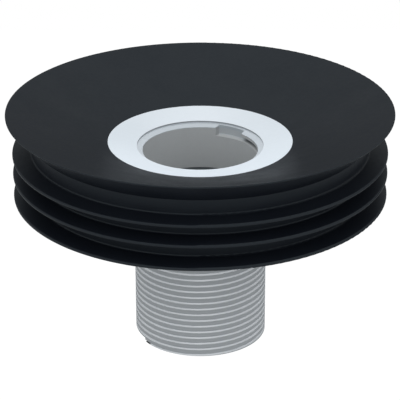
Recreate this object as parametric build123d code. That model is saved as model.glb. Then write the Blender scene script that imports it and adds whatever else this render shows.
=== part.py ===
from build123d import *
from math import cos, radians, sin, tan
import os

# Pan-outlet flange: a black rubber funnel boot with three sealing fins, clamped on a plastic
# tailpiece that is threaded G 1 1/2 outside and has a two-lug bayonet socket in its bore.
# Frame: millimetres, +Z up along the pipe axis, origin at the centre of the tailpiece's open
# bottom end. The front is -Y, so the first bayonet notch, just right of +Y, is at the back.

# Pipe thread, right-handed, with flat crests and a shallow 55 degree groove
thread_pitch = 2.309
crest_radius = 23.9
groove_depth = 0.63
groove_mouth = 1.03
groove_floor = groove_mouth - 2 * groove_depth * tan(radians(27.5))
groove_height_at_front = 0.904
thread_top = 66.0
thread_clearance = 0.12

# The thread's start, front left of the bottom end, cut back in a sector below the first ridge
start_low_angle = 152.0
start_span = 60.0
start_root_radius = 22.5
start_root_top = 0.6
start_crest_top = 1.8

# How far a cutting shape runs past the faces it cuts, and what counts as lying in a plane
overcut = 1.0
flatness = 0.0001

# Heights above the bottom end
rim_height = 87.2
flange_edge_height = 75.0
flange_hole_height = 73.2
lip_top_height = 72.75
bore_edge_height = 71.45
pocket_roof_height = 70.3
ledge_outer_height = 69.0
ledge_inner_height = 68.4
bore_step_height = 55.5

# Tailpiece radii and thicknesses
flange_radius = 33.0
flange_hole_radius = 22.6
bore_radius = 20.65
relief_radius = 21.1
flange_thickness = 2.6
flange_edge_round = 0.6
flange_sag = 0.3
end_chamfer = 0.25

# Bayonet: two notches through the lip, each running clockwise into a pocket under it. The
# pocket's floor is a ledge that slopes down towards the bore.
notch_count = 2
notch_radius = 22.0
notch_start = 15.5
notch_slant = 3.2
notch_end = 47.0
pocket_end = 88.0

# Rubber boot
rim_radius = 69.0
rim_edge = 0.5
lip_root_radius = 60.5
lip_root_height = 78.7
hub_bottom_radius = 59.3
hub_bottom_height = 54.0
hub_wall = 3.4
boot_hole_radius = 24.1
floor_thickness = 4.2
pad_height = 66.4
pad_radius = 37.0
pad_knee_radius = 39.5
rim_edge_round = 0.22

# Sealing fins, listed by the height of their rounded edges
fin_edge_heights = (72.05, 64.7, 56.4)
fin_radius = 67.0
fin_edge = 1.1
fin_rise = 1.4
fin_drop = 1.5
fin_edge_round = 0.53
fin_fillet = 0.6
fin_root_top = 74.5
corner_reach = 0.8

# Slip washer and backnut
washer_inner_radius = 24.4
washer_outer_radius = 36.0
washer_thickness = 2.0
washer_edge_round = 0.4
nut_flange_radius = 33.5
nut_flange_thickness = 2.5
nut_height = 9.5
nut_across_flats = 60.0
nut_mouth_radius = 24.2
nut_lead_in = 0.9
nut_corner_trim = 2.6


def ring(points):
    """A solid of revolution about Z from an outline given as (radius, height) points."""
    return revolve(Plane.XZ * Polygon(*points, align=None), Axis.Z)


def tube(inner_radius, outer_radius, low, high):
    return ring([(inner_radius, low), (outer_radius, low), (outer_radius, high), (inner_radius, high)])


def polar(radius, degrees):
    return (radius * cos(radians(degrees)), radius * sin(radians(degrees)))


def helix(radius, height):
    """One turn of the thread's helix, from this height at the front."""
    return Edge.make_helix(thread_pitch, thread_pitch, radius, center=(0, 0, height))


def thread_sides(profile, low, high):
    """The thread's side faces between two heights, each ruled between two helices a turn long.

    The profile is one pitch of the thread as (radius, height from the groove's middle).
    """
    width = 4 * crest_radius
    slab = Pos(0, 0, (low + high) / 2) * Box(width, width, high - low)
    sides = []
    first = int((low - groove_height_at_front) // thread_pitch) - 1
    last = int((high - groove_height_at_front) // thread_pitch) + 1
    for turn in range(first, last + 1):
        middle = groove_height_at_front + turn * thread_pitch
        for (radius, rise), (next_radius, next_rise) in zip(profile, profile[1:]):
            strip_low = middle + rise
            strip_high = middle + next_rise + thread_pitch
            if strip_high <= low or strip_low >= high:
                continue
            strip = Face.make_surface_from_curves(
                helix(radius, strip_low), helix(next_radius, middle + next_rise)
            )
            if strip_low < low or strip_high > high:
                strip = slab & strip
            sides += strip.faces()
    return sides


def end_face(sides, height):
    """The flat end of a rod whose side faces stop at this height."""
    rim = []
    for edge in Compound(sides).edges():
        box = edge.bounding_box()
        if box.size.Z < flatness and abs(box.min.Z - height) < flatness:
            rim.append(edge)
    return Face(Wire(rim))


def threaded_rod(root_radius, top_radius, floor, mouth, low, high):
    """A right-hand threaded rod, closed at both heights. Its groove meets the front (-Y) at
    the stated height, so that two rods made by this function are always in mesh."""
    profile = [
        (root_radius, -floor / 2),
        (root_radius, floor / 2),
        (top_radius, mouth / 2),
        (top_radius, thread_pitch - mouth / 2),
        (root_radius, thread_pitch - floor / 2),
    ]
    sides = thread_sides(profile, low, high)
    shell = Shell(sides + [end_face(sides, low), end_face(sides, high)])
    return Rot(0, 0, -90) * Solid(shell)


def male_thread(low, high):
    return threaded_rod(crest_radius - groove_depth, crest_radius, groove_floor, groove_mouth, low, high)


def tapped_space(low, high):
    """What the nut's thread leaves open: the male thread plus its clearance all round."""
    return threaded_rod(
        crest_radius - groove_depth + thread_clearance,
        crest_radius + thread_clearance,
        groove_floor - thread_clearance,
        groove_mouth - thread_clearance,
        low,
        high,
    )


def ledge_height_at(radius):
    share = (notch_radius - radius) / (notch_radius - bore_radius)
    return ledge_outer_height + share * (ledge_inner_height - ledge_outer_height)


def bayonet_cut():
    """One notch and the pocket it opens into, both on the back half of the bore."""
    inside = bore_radius - overcut
    start = 90 - notch_start
    end = 90 - notch_end
    outline = [
        Line(polar(inside, start), polar(bore_radius, start)),
        Line(polar(bore_radius, start), polar(notch_radius, start - notch_slant)),
        ThreePointArc(
            polar(notch_radius, start - notch_slant),
            polar(notch_radius, (start - notch_slant + end) / 2),
            polar(notch_radius, end),
        ),
        Line(polar(notch_radius, end), polar(inside, end)),
        Line(polar(inside, end), polar(inside, start)),
    ]
    low = ledge_height_at(inside)
    column = Pos(0, 0, low) * extrude(make_face(outline), flange_hole_height - low)
    above_ledge = ring(
        [
            (inside, low),
            (notch_radius, ledge_outer_height),
            (notch_radius, flange_hole_height),
            (inside, flange_hole_height),
        ]
    )
    notch = column & above_ledge
    sector = Plane.XZ * Polygon(
        (inside, low),
        (notch_radius, ledge_outer_height),
        (notch_radius, pocket_roof_height),
        (inside, pocket_roof_height),
        align=None,
    )
    arc = pocket_end - notch_start - notch_slant
    pocket = Rot(0, 0, 90 - pocket_end) * revolve(sector, Axis.Z, revolution_arc=arc)
    return notch + pocket


def thread_start():
    outside = crest_radius + overcut
    slope = (start_crest_top - start_root_top) / (crest_radius - start_root_radius)
    section = Plane.XZ * Polygon(
        (start_root_radius, -overcut),
        (outside, -overcut),
        (outside, start_crest_top + slope * overcut),
        (start_root_radius, start_root_top),
        align=None,
    )
    return Rot(0, 0, start_low_angle) * revolve(section, Axis.Z, revolution_arc=start_span)


def make_tailpiece():
    neck_top = flange_hole_height - flange_thickness
    outer = ring(
        [
            (0, thread_top),
            (crest_radius, thread_top),
            (crest_radius, neck_top - flange_sag),
            (flange_radius - flange_edge_round, flange_edge_height - flange_thickness),
            (flange_radius, flange_edge_height - flange_thickness + flange_edge_round),
            (flange_radius, flange_edge_height),
            (flange_hole_radius, flange_hole_height),
            (flange_hole_radius, lip_top_height),
            (bore_radius, bore_edge_height),
            (0, bore_edge_height),
        ]
    )
    body = male_thread(0, thread_top) + outer
    bore = ring(
        [
            (0, -overcut),
            (relief_radius, -overcut),
            (relief_radius, bore_step_height),
            (bore_radius, bore_step_height),
            (bore_radius, rim_height),
            (0, rim_height),
        ]
    )
    root_radius = crest_radius - groove_depth
    outside = crest_radius + overcut
    chamfered_end = ring(
        [
            (root_radius, -overcut),
            (outside, -overcut),
            (outside, end_chamfer * (outside - root_radius) / groove_depth),
            (root_radius, 0),
        ]
    )
    body = body - bore - chamfered_end - thread_start()
    for i in range(notch_count):
        body = body - Rot(0, 0, 360 * i / notch_count) * bayonet_cut()
    return body


def funnel_height_at(radius):
    """The funnel's top surface, a straight cone from the plastic flange's edge to the rim."""
    share = (radius - flange_radius) / (rim_radius - flange_radius)
    return flange_edge_height + share * (rim_height - flange_edge_height)


def funnel_outline():
    """Funnel, flange seat and clamping pad in section."""
    seat_edge = flange_edge_height - flange_thickness
    wall_inner = lip_root_radius - hub_wall
    return Polygon(
        (boot_hole_radius, pad_height),
        (pad_radius, pad_height),
        (pad_knee_radius, funnel_height_at(pad_knee_radius) - floor_thickness),
        (wall_inner, funnel_height_at(wall_inner) - floor_thickness),
        (lip_root_radius, lip_root_height),
        (rim_radius, rim_height - rim_edge),
        (rim_radius, rim_height),
        (flange_radius, flange_edge_height),
        (flange_radius, seat_edge + flange_edge_round),
        (flange_radius - flange_edge_round, seat_edge),
        (boot_hole_radius, flange_hole_height - flange_thickness - flange_sag),
        align=None,
    )


def hub_outline():
    """The hub wall in section, slightly narrower at its foot."""
    return Polygon(
        (hub_bottom_radius - hub_wall, hub_bottom_height),
        (hub_bottom_radius, hub_bottom_height),
        (lip_root_radius, lip_root_height),
        (lip_root_radius - hub_wall, lip_root_height + hub_wall),
        align=None,
    )


def fin_outline(edge_height):
    """A thin sealing fin in section, rooted in the hub and drooping a little to its edge."""
    inside = hub_bottom_radius - overcut
    return Polygon(
        (inside, edge_height - fin_drop),
        (fin_radius, edge_height - fin_edge / 2),
        (fin_radius, edge_height + fin_edge / 2),
        (inside, edge_height + fin_rise),
        align=None,
    )


def corners_between(outline, inner, outer, low, high):
    corners = []
    for corner in outline.vertices():
        if inner < corner.X < outer and low < corner.Y < high:
            corners.append(corner)
    return corners


def make_rubber_boot():
    outline = funnel_outline() + hub_outline()
    for edge_height in fin_edge_heights:
        outline += fin_outline(edge_height)
    above_foot = hub_bottom_height + corner_reach
    fin_inside = fin_radius - corner_reach
    fin_outside = fin_radius + corner_reach
    fin_corners = corners_between(outline, fin_inside, fin_outside, above_foot, lip_root_height)
    outline = fillet(fin_corners, fin_edge_round)
    fin_roots = corners_between(outline, hub_bottom_radius, lip_root_radius, above_foot, fin_root_top)
    outline = fillet(fin_roots, fin_fillet)
    rim_inside = rim_radius - corner_reach
    rim_outside = rim_radius + corner_reach
    rim_corners = corners_between(outline, rim_inside, rim_outside, lip_root_height, rim_height + overcut)
    outline = fillet(rim_corners, rim_edge_round)
    return revolve(Plane.XZ * outline, Axis.Z)


def make_slip_washer():
    top = pad_height
    washer = tube(washer_inner_radius, washer_outer_radius, top - washer_thickness, top)
    return fillet(washer.edges().filter_by(GeomType.CIRCLE), washer_edge_round)


def make_backnut():
    """A hexagonal nut on a round flange, tapped right through."""
    top = pad_height - washer_thickness
    bottom = top - nut_height
    corner_radius = nut_across_flats / 2 / cos(radians(30))
    hexagon = Pos(0, 0, bottom) * extrude(RegularPolygon(corner_radius, 6), nut_height)
    corner_trim = ring(
        [
            (0, bottom),
            (nut_across_flats / 2, bottom),
            (corner_radius, bottom + nut_corner_trim),
            (corner_radius, top),
            (0, top),
        ]
    )
    flange = tube(crest_radius, nut_flange_radius, top - nut_flange_thickness, top)
    throat_radius = nut_mouth_radius - nut_lead_in
    throat = ring(
        [
            (0, bottom - overcut),
            (nut_mouth_radius, bottom - overcut),
            (nut_mouth_radius, bottom),
            (throat_radius, bottom + nut_lead_in),
            (throat_radius, top - nut_lead_in),
            (nut_mouth_radius, top),
            (nut_mouth_radius, top + overcut),
            (0, top + overcut),
        ]
    )
    blank = (hexagon & corner_trim) + flange
    return blank - throat - tapped_space(bottom - thread_pitch, top + thread_pitch)


os.makedirs("parts", exist_ok=True)
export_step(make_rubber_boot(), "parts/rubber_boot.step")
export_step(make_tailpiece(), "parts/tailpiece.step")
export_step(make_slip_washer(), "parts/slip_washer.step")
export_step(make_backnut(), "parts/backnut.step")
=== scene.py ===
from math import cos, radians, sin

import bmesh
import bpy
from mathutils import Matrix, Vector


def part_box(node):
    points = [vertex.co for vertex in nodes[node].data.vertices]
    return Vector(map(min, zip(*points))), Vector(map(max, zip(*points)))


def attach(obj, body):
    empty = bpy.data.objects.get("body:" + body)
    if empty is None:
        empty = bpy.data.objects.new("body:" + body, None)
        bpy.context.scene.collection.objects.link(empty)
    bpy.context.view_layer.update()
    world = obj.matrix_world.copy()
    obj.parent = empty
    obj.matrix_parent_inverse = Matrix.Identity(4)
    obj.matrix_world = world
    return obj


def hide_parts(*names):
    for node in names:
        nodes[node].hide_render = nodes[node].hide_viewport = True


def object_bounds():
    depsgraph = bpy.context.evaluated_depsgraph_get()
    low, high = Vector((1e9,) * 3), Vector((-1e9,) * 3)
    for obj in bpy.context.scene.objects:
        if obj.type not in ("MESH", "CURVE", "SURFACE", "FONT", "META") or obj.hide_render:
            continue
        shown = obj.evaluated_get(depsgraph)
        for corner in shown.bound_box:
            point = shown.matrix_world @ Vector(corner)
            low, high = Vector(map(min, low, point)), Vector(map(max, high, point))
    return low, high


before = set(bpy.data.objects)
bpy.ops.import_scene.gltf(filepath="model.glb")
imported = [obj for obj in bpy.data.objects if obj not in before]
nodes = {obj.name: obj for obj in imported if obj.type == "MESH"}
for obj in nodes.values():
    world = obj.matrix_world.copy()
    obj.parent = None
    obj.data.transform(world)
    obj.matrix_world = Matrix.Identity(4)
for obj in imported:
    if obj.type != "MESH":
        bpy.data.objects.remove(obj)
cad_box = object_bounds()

MM = 0.001

# Camera: a long lens a little above the part, looking at its axis from -Y
CAMERA_ELEVATION = 24.375
CAMERA_DISTANCE = 709.94 * MM
CAMERA_AIM_BELOW_RIM = 35.68 * MM
CAMERA_ASIDE = -0.1 * MM
CAMERA_ROLL = -0.13
CAMERA_LENS = 176.5
CAMERA_SENSOR = 36.0

# Studio: radiance of the sky at the horizon and overhead, and of the surround below. The horizon
# dims from the front to the back between two values of a direction's Y.
SKY_HORIZON_FRONT = 0.5
SKY_HORIZON_BACK = 0.05
SKY_ZENITH = 0.65
SKY_BELOW = 0.42
SKY_TINT = (0.95, 0.985, 1.0)
SKY_FRONT_TO_BACK = (-0.3, 0.6)
SKY_HORIZON_SOFTNESS = 0.04

# Floor: a plain white plane, low enough for the part to be seen from underneath too
FLOOR_SIZE = 12.0
FLOOR_DROP = 2.0
FLOOR_GREY = (0.12, 0.12, 0.12)
FLOOR_GLOW = 0.98
FLOOR_ROUGH = 0.9

# Suns: strength, then apparent size, elevation and direction in degrees
SOCKET_SUN = (1.75, 16.0, 57.0, 180.0)
THREAD_SUN = (1.45, 4.0, 90.0, 0.0)

# Tailpiece's two shown pieces: weld distance, sharp edges, and the cut's height above the washer
WELD = 0.0005 * MM
SHARP_ANGLE = 24.0
CUT_ABOVE_WASHER = 0.4 * MM

# Where the tailpiece's recesses are: depths below its top, radii, and degrees right of the back.
# The notches and pockets come twice, half a turn apart.
LIP_TOP = 2.25 * MM
BORE_EDGE = 3.55 * MM
POCKET_ROOF = 4.7 * MM
LEDGE = 6.6 * MM
BORE_STEP = 19.5 * MM
BORE = 20.65 * MM
HOLE = 22.6 * MM
FACET_END = 18.6
NOTCH_END = 47.0
HALF_TURN = 180.0

# Painted shade at the thread's start, a near-black mark for a shaded face: degrees left of the
# front, height above the tube's end, radius
RUNOUT_SHADE_FROM = 51.5
RUNOUT_SHADE_TO = 62.0
RUNOUT_SHADE_HEIGHT = 0.55 * MM
RUNOUT_SHADE_RADIUS = 22.4 * MM

# Plastic: colours, roughness, and how much painted light makes the flange's front brighter than
# its middle and its back darker
WHITE_LOW = (0.75, 0.81, 0.87)
WHITE_HIGH = (0.77, 0.83, 0.89)
NUT_WHITE = (0.74, 0.76, 0.77)
WASHER_WHITE = (0.66, 0.69, 0.71)
# Painted shade on the chamfer at the hole's top: a greyer colour where it gets less light
CHAMFER_SHADE = (0.70, 0.75, 0.80)
# Painted shade on the bore's wall: a neutral grey, less blue than the lit flange
BORE_SHADE = (0.785, 0.795, 0.80)
# Painted shade deep in the bore below its step: a dark crescent where shade falls
DEEP_BORE_SHADE = (0.24, 0.265, 0.28)
# Painted shade on the small step at the hole's edge: a thin dark line
STEP_SHADE = (0.45, 0.47, 0.50)
# Painted shade on the notch's slanted side facet
FACET_SHADE = (0.60, 0.61, 0.62)
# Painted shadow in the pockets under the lip and on the ledge beneath them
POCKET_SHADOW = (0.20, 0.21, 0.22)
# Painted shade on the tube's outside: the thread greyer than the flange of the same plastic
THREAD_SHADE = (0.615, 0.637, 0.66)
# Painted shade: a near-black mark at the thread's start, for a shaded face
RUNOUT_SHADE_GREY = (0.05, 0.055, 0.06)
TAILPIECE_ROUGH = 0.43
WASHER_ROUGH = 0.5
NUT_ROUGH = 0.36
PLASTIC_SPECULAR = 0.3
PAINTED_FRONT_LIGHT = 0.10

# Rubber: colours and roughness; the worn colour is paler rubbed rubber and also a painted
# highlight along the edges
RUBBER_DARK = (0.0085, 0.0108, 0.0182)
RUBBER_LIGHT = (0.0103, 0.0128, 0.0206)
RUBBER_WORN_HIGHLIGHT = (0.026, 0.029, 0.034)
RUBBER_TINT = (0.84, 0.96, 1.0)
RUBBER_ROUGH = 0.46
RUBBER_SPECULAR = 0.56

# Rubbed edges, on the rubber both worn and given a painted highlight: width, how alike the rounded
# and plain normals are on them and off them, and the least that the rubber's edges are worn and
# highlit
EDGE_RADIUS = 0.35 * MM
EDGE_SAMPLES = 4
EDGE_LIKENESS = (0.9, 0.995)
WEAR_HIGHLIGHT_LEAST = 0.3

# Noises: waves a metre, and detail
RUBBER_MOTTLE = (22.0, 4.0)
RUBBER_BLOTCH = (90.0, 3.0)
RUBBER_PORES = (700.0, 3.0)
RUBBER_FLOW = (1400.0, 2.0)
RUBBER_GRAIN = (2600.0, 2.0)
PLASTIC_CLOUD = (35.0, 3.0)
PLASTIC_RIPPLE = (260.0, 2.0)
PLASTIC_SPECKLE = (900.0, 4.0)
PLASTIC_STREAKS = (1800.0, 3.0)
PLASTIC_GRAIN = (3000.0, 2.0)

# Spans of a noise's values that a change is spread over
MIDDLE = (0.3, 0.7)
WIDER = (0.25, 0.75)
WIDEST = (0.2, 0.8)

# How far each noise moves the roughness either way, and how much duller a rubbed edge is
MOTTLE_SHEEN = 0.05
PORES_SHEEN = 0.03
BLOTCH_SHEEN = 0.02
RUBBER_EDGE_SHEEN = 0.06
GRAIN_SHEEN = 0.05
CLOUD_SHEEN = 0.03
PLASTIC_EDGE_SHEEN = 0.08
SPECKLE_SHADE = 0.985

# Bumps: depth and strength
RUBBER_GRAIN_BUMP = (0.03 * MM, 0.35)
RUBBER_PORES_BUMP = (0.08 * MM, 0.3)
RUBBER_FLOW_BUMP = (0.02 * MM, 0.15)
PLASTIC_GRAIN_BUMP = (0.02 * MM, 0.25)
PLASTIC_RIPPLE_BUMP = (0.03 * MM, 0.1)
PLASTIC_STREAKS_BUMP = (0.01 * MM, 0.1)

# Places given painted shade, in the order they are laid on: greyer and darker colours where the
# tailpiece's recesses get less light.
# Each is a colour and its limits: a quantity, the value at which the colour begins to show, and
# where it shows fully.
RECESS_SHADES = (
    (CHAMFER_SHADE, (
        ("radius", HOLE - 0.02 * MM, HOLE - 0.1 * MM),
        ("depth", BORE_EDGE + 0.02 * MM, BORE_EDGE - 0.05 * MM),
    )),
    (BORE_SHADE, (
        ("radius", BORE + 2.1 * MM, BORE + 0.6 * MM),
        ("depth", BORE_EDGE, BORE_EDGE + 0.2 * MM),
    )),
    (DEEP_BORE_SHADE, (
        ("radius", BORE + 0.9 * MM, BORE + 0.6 * MM),
        ("depth", BORE_STEP - 0.1 * MM, BORE_STEP + 0.1 * MM),
    )),
    (STEP_SHADE, (
        ("radius", HOLE + 0.06 * MM, HOLE + 0.02 * MM),
        ("depth", LIP_TOP, LIP_TOP - 0.1 * MM),
    )),
    (FACET_SHADE, (
        ("right_of_back", FACET_END + 0.36, FACET_END - 0.36),
        ("depth", BORE_EDGE - 0.2 * MM, BORE_EDGE),
        ("depth", LEDGE + 0.5 * MM, LEDGE + 0.1 * MM),
        ("radius", BORE + 0.1 * MM, BORE + 0.3 * MM),
        ("radius", HOLE - 0.1 * MM, HOLE - 0.2 * MM),
    )),
    (POCKET_SHADOW, (
        ("right_of_back", NOTCH_END - 1.8, NOTCH_END + 5.4),
        ("depth", POCKET_ROOF + 0.05 * MM, POCKET_ROOF + 0.3 * MM),
        ("depth", LEDGE + 0.5 * MM, LEDGE + 0.1 * MM),
        ("radius", BORE + 0.2 * MM, BORE + 1.35 * MM),
    )),
)
# Painted shade on the tube's outside: the greyer thread, and a near-black mark at the thread's
# start
THREAD_SHADES = (
    (THREAD_SHADE, (
        ("radius", BORE + 1.2 * MM, BORE + 1.6 * MM),
    )),
    (RUNOUT_SHADE_GREY, (
        ("left_of_front", RUNOUT_SHADE_FROM - 1.0, RUNOUT_SHADE_FROM + 1.0),
        ("left_of_front", RUNOUT_SHADE_TO + 1.0, RUNOUT_SHADE_TO - 3.0),
        ("height", RUNOUT_SHADE_HEIGHT + 0.1 * MM, RUNOUT_SHADE_HEIGHT - 0.1 * MM),
        ("radius", RUNOUT_SHADE_RADIUS - 0.3 * MM, RUNOUT_SHADE_RADIUS),
    )),
)


def place_camera(rim_height):
    aim = Vector((CAMERA_ASIDE, 0.0, rim_height - CAMERA_AIM_BELOW_RIM))
    rise = radians(CAMERA_ELEVATION)
    data = bpy.data.cameras.new("camera")
    data.lens = CAMERA_LENS
    data.sensor_width = CAMERA_SENSOR
    camera = bpy.data.objects.new("camera", data)
    camera.location = aim + CAMERA_DISTANCE * Vector((0.0, -cos(rise), sin(rise)))
    tilt = Matrix.Rotation(radians(90 - CAMERA_ELEVATION), 3, "X")
    roll = Matrix.Rotation(radians(CAMERA_ROLL), 3, "Z")
    camera.rotation_euler = (tilt @ roll).to_euler()
    bpy.context.scene.collection.objects.link(camera)
    bpy.context.scene.camera = camera


class Nodes:
    """A node tree, with short calls for adding and joining nodes."""

    def __init__(self, tree):
        self.tree = tree
        tree.nodes.clear()

    def add(self, kind, inputs=None, **settings):
        node = self.tree.nodes.new(kind)
        for name, value in settings.items():
            setattr(node, name, value)
        for name, value in (inputs or {}).items():
            if isinstance(value, bpy.types.NodeSocket):
                self.tree.links.new(value, node.inputs[name])
            else:
                node.inputs[name].default_value = value
        return node

    def math(self, operation, a, b=0.0):
        return self.add("ShaderNodeMath", {0: a, 1: b}, operation=operation).outputs[0]

    def product(self, first, *others):
        for other in others:
            first = self.math("MULTIPLY", first, other)
        return first

    def total(self, first, *others):
        for other in others:
            first = self.math("ADD", first, other)
        return first

    def ramp(self, value, low, high, to_low=0.0, to_high=1.0):
        """The value taken smoothly from low..high to to_low..to_high, and held outside that."""
        inputs = {
            "Value": value,
            "From Min": low,
            "From Max": high,
            "To Min": to_low,
            "To Max": to_high,
        }
        return self.add("ShaderNodeMapRange", inputs, interpolation_type="SMOOTHSTEP").outputs[0]

    def swing(self, value, span, reach, centre=0.0):
        """A number that goes as far as reach below and above its centre over the value's span."""
        return self.ramp(value, *span, centre - reach, centre + reach)

    def fade(self, value, zero_at, one_at):
        """0 up to one value and 1 from the other on, whichever way round they are."""
        if zero_at < one_at:
            return self.ramp(value, zero_at, one_at)
        return self.ramp(value, one_at, zero_at, 1.0, 0.0)

    def noise(self, where, pattern):
        scale, detail = pattern
        inputs = {"Vector": where, "Scale": scale, "Detail": detail}
        return self.add("ShaderNodeTexNoise", inputs).outputs["Fac"]

    def mix(self, factor, a, b):
        """Two colours mixed by a factor."""
        node = self.add("ShaderNodeMix", {"Factor": factor}, data_type="RGBA")
        for index, colour in ((6, a), (7, b)):
            if isinstance(colour, bpy.types.NodeSocket):
                self.tree.links.new(colour, node.inputs[index])
            else:
                node.inputs[index].default_value = (*colour, 1.0)
        return node.outputs[2]

    def brighten(self, colour, gain):
        inputs = {"Color": colour, "Value": gain}
        return self.add("ShaderNodeHueSaturation", inputs).outputs[0]

    def bumps(self, layers):
        """Bump layers over each other; each is a height, and its depth in metres and strength."""
        normal = None
        for height, (depth, strength) in layers:
            inputs = {"Strength": strength, "Distance": depth, "Height": height}
            if normal:
                inputs["Normal"] = normal
            normal = self.add("ShaderNodeBump", inputs).outputs[0]
        return normal

    def rubbed_edges(self):
        """1 along edges, 0 on open faces."""
        rounded = self.add("ShaderNodeBevel", {"Radius": EDGE_RADIUS}, samples=EDGE_SAMPLES)
        plain = self.add("ShaderNodeNewGeometry")
        pair = {0: rounded.outputs[0], 1: plain.outputs["Normal"]}
        likeness = self.add("ShaderNodeVectorMath", pair, operation="DOT_PRODUCT")
        return self.ramp(likeness.outputs["Value"], *EDGE_LIKENESS, 1.0, 0.0)

    def surface(self, settings):
        shader = self.add("ShaderNodeBsdfPrincipled", settings)
        self.add("ShaderNodeOutputMaterial", {0: shader.outputs[0]})


def new_material(name):
    material = bpy.data.materials.new(name)
    material.use_nodes = True
    return material, Nodes(material.node_tree)


def make_world():
    """An even studio: a bluish sky that brightens towards the top, and a dimmer surround below."""
    world = bpy.data.worlds.new("studio")
    world.use_nodes = True
    n = Nodes(world.node_tree)
    where = n.add("ShaderNodeTexCoord")
    split = n.add("ShaderNodeSeparateXYZ", {0: where.outputs["Generated"]})
    up = split.outputs["Z"]
    along = split.outputs["Y"]
    horizon = n.ramp(along, *SKY_FRONT_TO_BACK, SKY_HORIZON_FRONT, SKY_HORIZON_BACK)
    rise = n.product(n.math("SUBTRACT", SKY_ZENITH, horizon), up)
    above = n.ramp(up, -SKY_HORIZON_SOFTNESS, SKY_HORIZON_SOFTNESS)
    sky = n.product(n.total(horizon, rise), above)
    ground = n.product(n.math("SUBTRACT", 1.0, above), SKY_BELOW)
    level = n.total(sky, ground)
    studio = n.add("ShaderNodeBackground", {"Color": (*SKY_TINT, 1), "Strength": level})
    backdrop = n.add("ShaderNodeBackground", {"Color": (1, 1, 1, 1), "Strength": 1.0})
    seen = n.add("ShaderNodeLightPath").outputs["Is Camera Ray"]
    shown = n.add("ShaderNodeMixShader", {0: seen, 1: studio.outputs[0], 2: backdrop.outputs[0]})
    n.add("ShaderNodeOutputWorld", {0: shown.outputs[0]})
    bpy.context.scene.world = world


def make_floor():
    half = FLOOR_SIZE / 2
    mesh = bpy.data.meshes.new("floor")
    corners = [(-half, -half, 0), (half, -half, 0), (half, half, 0), (-half, half, 0)]
    mesh.from_pydata(corners, [], [(0, 1, 2, 3)])
    floor = bpy.data.objects.new("floor", mesh)
    floor.location.z = cad_box[0][2] - FLOOR_DROP
    bpy.context.scene.collection.objects.link(floor)
    material, n = new_material("floor")
    n.surface({
        "Base Color": (*FLOOR_GREY, 1),
        "Roughness": FLOOR_ROUGH,
        "Emission Color": (1, 1, 1, 1),
        "Emission Strength": FLOOR_GLOW,
        "Specular IOR Level": 0.0,
    })
    mesh.materials.append(material)
    floor.visible_diffuse = False
    floor.visible_glossy = False


def collection_of(name, member):
    group = bpy.data.collections.new(name)
    group.objects.link(member)
    return group


def add_sun(name, sun, lit, shaded):
    """A soft sun for one piece only, which shades itself or isn't shaded at all."""
    strength, angle, elevation, azimuth = sun
    data = bpy.data.lights.new(name, "SUN")
    data.energy = strength
    data.angle = radians(angle)
    light = bpy.data.objects.new(name, data)
    light.rotation_euler = (radians(90 - elevation), 0.0, radians(azimuth))
    bpy.context.scene.collection.objects.link(light)
    light.light_linking.receiver_collection = collection_of(name + "_lit", lit)
    if shaded:
        light.light_linking.blocker_collection = collection_of(name + "_blockers", lit)
    else:
        data.use_shadow = False


def cut_copy(name, node, height, keep_above):
    """A closed copy of the part of a CAD node's mesh above or below a height."""
    bm = bmesh.new()
    bm.from_mesh(node.data)
    bm.transform(node.matrix_world)
    bmesh.ops.remove_doubles(bm, verts=bm.verts, dist=WELD)
    cut = bmesh.ops.bisect_plane(
        bm,
        geom=bm.verts[:] + bm.edges[:] + bm.faces[:],
        dist=WELD,
        plane_co=(0, 0, height),
        plane_no=(0, 0, 1),
        clear_inner=keep_above,
        clear_outer=not keep_above,
    )
    rim = [e for e in cut["geom_cut"] if isinstance(e, bmesh.types.BMEdge)]
    bmesh.ops.triangle_fill(bm, edges=rim, use_beauty=True, normal=(0, 0, -1 if keep_above else 1))
    bmesh.ops.recalc_face_normals(bm, faces=bm.faces)
    mesh = bpy.data.meshes.new(name)
    bm.to_mesh(mesh)
    bm.free()
    if "custom_normal" in mesh.attributes:
        mesh.attributes.remove(mesh.attributes["custom_normal"])
    mesh.shade_smooth()
    mesh.set_sharp_from_angle(angle=radians(SHARP_ANGLE))
    piece = bpy.data.objects.new(name, mesh)
    bpy.context.scene.collection.objects.link(piece)
    return piece


def profile_of(n, where):
    """A point's radius and height as one vector, for patterns that run round the pipe axis."""
    split = n.add("ShaderNodeSeparateXYZ", {0: where})
    x, y, height = split.outputs
    radius = n.math("SQRT", n.total(n.product(x, x), n.product(y, y)))
    return n.add("ShaderNodeCombineXYZ", {0: radius, 1: height}).outputs[0]


def quantities(n, where):
    """A point's place on the tailpiece: lengths in metres, angles in degrees."""
    _, _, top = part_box("tailpiece")[1]
    split = n.add("ShaderNodeSeparateXYZ", {0: where})
    x, y, height = split.outputs
    right = n.math("DIVIDE", n.math("ARCTAN2", x, y), radians(1))
    left = n.math("ARCTAN2", n.product(x, -1.0), n.product(y, -1.0))
    return {
        "radius": n.math("SQRT", n.total(n.product(x, x), n.product(y, y))),
        "height": height,
        "depth": n.math("SUBTRACT", top, height),
        "right_of_back": n.math("MODULO", n.total(right, HALF_TURN), HALF_TURN),
        "left_of_front": n.math("DIVIDE", left, radians(1)),
        "backward": y,
    }


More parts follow.
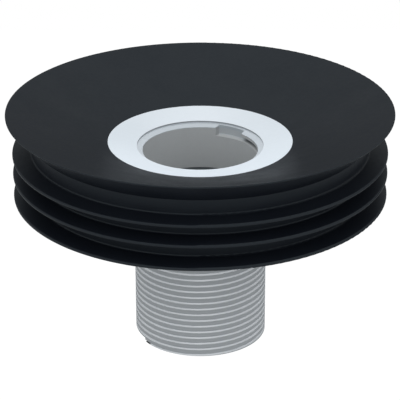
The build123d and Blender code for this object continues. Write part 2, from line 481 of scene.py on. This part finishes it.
def rubber(name):
    """Satin black rubber: mottled, finely pored, and paler and duller where edges have rubbed; the
    paler edges are also a painted highlight.
    """
    material, n = new_material(name)
    where = n.add("ShaderNodeTexCoord").outputs["Object"]
    mottle = n.noise(where, RUBBER_MOTTLE)
    blotch = n.noise(where, RUBBER_BLOTCH)
    grain = n.noise(where, RUBBER_GRAIN)
    pores = n.noise(where, RUBBER_PORES)
    flow = n.noise(profile_of(n, where), RUBBER_FLOW)
    colour = n.mix(n.ramp(mottle, *MIDDLE), RUBBER_DARK, RUBBER_LIGHT)
    # Edges paler partly from wear and partly as a painted highlight
    worn_and_highlit = n.product(n.rubbed_edges(), n.ramp(blotch, *MIDDLE, WEAR_HIGHLIGHT_LEAST, 1.0))
    n.surface({
        "Base Color": n.mix(worn_and_highlit, colour, RUBBER_WORN_HIGHLIGHT),
        "Roughness": n.total(
            n.swing(mottle, WIDER, MOTTLE_SHEEN, RUBBER_ROUGH),
            n.swing(pores, WIDEST, PORES_SHEEN),
            n.swing(blotch, MIDDLE, BLOTCH_SHEEN),
            n.product(worn_and_highlit, RUBBER_EDGE_SHEEN),
        ),
        "Specular IOR Level": RUBBER_SPECULAR,
        "Specular Tint": (*RUBBER_TINT, 1),
        "Normal": n.bumps([
            (grain, RUBBER_GRAIN_BUMP),
            (pores, RUBBER_PORES_BUMP),
            (flow, RUBBER_FLOW_BUMP),
        ]),
    })
    return material


def tailpiece_light_and_shade(n, colour, where, shade_places):
    """A colour with painted light, brighter towards the front and darker towards the back, with
    the tailpiece's painted shade laid on it.
    """
    at = quantities(n, where)
    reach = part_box("tailpiece")[1][0]
    # Painted light: the tailpiece brighter towards the front and darker towards the back
    gain = n.ramp(at["backward"], -reach, reach, 1 + PAINTED_FRONT_LIGHT, 1 - PAINTED_FRONT_LIGHT)
    colour = n.brighten(colour, gain)
    # Each place's painted shade, laid on in turn
    for shade_colour, limits in shade_places:
        shown = n.product(*(n.fade(at[what], zero, one) for what, zero, one in limits))
        colour = n.mix(shown, colour, shade_colour)
    return colour


def plastic(name, low, high, rough, shade_places=()):
    """Moulded plastic: clouded, speckled, finely grained, and duller along its edges; on the
    tailpiece, painted light and shade are laid on its colour.
    """
    material, n = new_material(name)
    where = n.add("ShaderNodeTexCoord").outputs["Object"]
    cloud = n.noise(where, PLASTIC_CLOUD)
    grain = n.noise(where, PLASTIC_GRAIN)
    ripple = n.noise(where, PLASTIC_RIPPLE)
    speckle = n.noise(where, PLASTIC_SPECKLE)
    streaks = n.noise(profile_of(n, where), PLASTIC_STREAKS)
    colour = n.mix(n.ramp(cloud, *MIDDLE), low, high)
    if shade_places:
        colour = tailpiece_light_and_shade(n, colour, where, shade_places)
    n.surface({
        "Base Color": n.brighten(colour, n.ramp(speckle, *MIDDLE, SPECKLE_SHADE, 1.0)),
        "Roughness": n.total(
            n.swing(grain, WIDEST, GRAIN_SHEEN, rough),
            n.swing(cloud, MIDDLE, CLOUD_SHEEN),
            n.product(n.rubbed_edges(), PLASTIC_EDGE_SHEEN),
        ),
        "Specular IOR Level": PLASTIC_SPECULAR,
        "Normal": n.bumps([
            (grain, PLASTIC_GRAIN_BUMP),
            (ripple, PLASTIC_RIPPLE_BUMP),
            (streaks, PLASTIC_STREAKS_BUMP),
        ]),
    })
    return material


def paint(piece, material):
    piece.data.materials.clear()
    piece.data.materials.append(material)


bpy.context.scene.view_settings.view_transform = "Standard"
place_camera(cad_box[1][2])
make_world()
make_floor()

cut_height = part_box("slip_washer")[1][2] + CUT_ABOVE_WASHER
socket = cut_copy("socket_flange", nodes["tailpiece"], cut_height, True)
tube = cut_copy("threaded_tube", nodes["tailpiece"], cut_height, False)
for piece in (socket, tube):
    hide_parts("tailpiece")
    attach(piece, "flange")

paint(nodes["rubber_boot"], rubber("boot_rubber"))
paint(nodes["slip_washer"], plastic("washer_white", WASHER_WHITE, WHITE_LOW, WASHER_ROUGH))
paint(nodes["backnut"], plastic("nut_white", NUT_WHITE, WHITE_LOW, NUT_ROUGH))
paint(socket, plastic("socket_white", WHITE_LOW, WHITE_HIGH, TAILPIECE_ROUGH, RECESS_SHADES))
paint(tube, plastic("tube_white", WHITE_LOW, WHITE_HIGH, TAILPIECE_ROUGH, RECESS_SHADES + THREAD_SHADES))

add_sun("sun_socket", SOCKET_SUN, socket, True)
add_sun("sun_thread", THREAD_SUN, tube, False)
